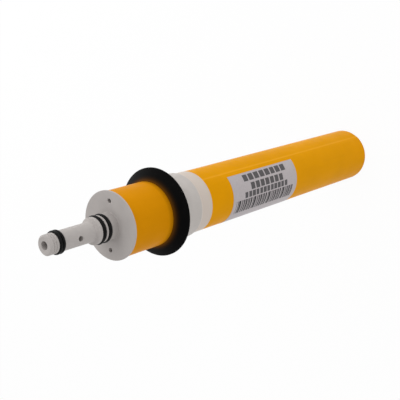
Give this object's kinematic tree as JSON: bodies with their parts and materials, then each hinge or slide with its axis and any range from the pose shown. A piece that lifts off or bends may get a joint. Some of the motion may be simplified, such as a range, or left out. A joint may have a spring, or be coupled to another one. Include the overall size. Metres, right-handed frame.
{
  "type": "ro membrane element",
  "caption": "Spiral-wound reverse osmosis membrane element with a yellow wrap, a flared rubber brine seal and a white end cap with a stepped, O-ring sealed product stem.",
  "frame": {"origin": "centre of the feed end's face, the open end of the roll, which the part stands on", "axes": "+Z along the element towards the tip of the product stem; -Y towards the stem's side port; X through the two brine holes of the cap"},
  "size_m": [0.0714, 0.0714, 0.4055],
  "materials": {
    "white_plastic": "satin moulded plastic",
    "carrier_plastic": "satin moulded plastic",
    "yellow_wrap": "smooth glossy film",
    "seal_rubber": "smooth matt rubber",
    "o_ring_rubber": "lightly greased rubber",
    "label_paper": "printed film label",
    "membrane": "layered membrane and mesh",
    "tube_plastic": "extruded plastic"
  },
  "bodies": {
    "root": {"head_cap": "white_plastic", "tip_o_ring_front": "o_ring_rubber", "tip_o_ring_rear": "o_ring_rubber", "base_o_ring_front": "o_ring_rubber", "base_o_ring_rear": "o_ring_rubber", "near_wrap": "yellow_wrap", "brine_seal": "seal_rubber", "seal_carrier": "carrier_plastic", "far_wrap": "yellow_wrap", "label": "label_paper", "membrane_roll": "membrane", "permeate_tube": "tube_plastic", "tube_plug": "tube_plastic"}
  },
  "joints": []
}
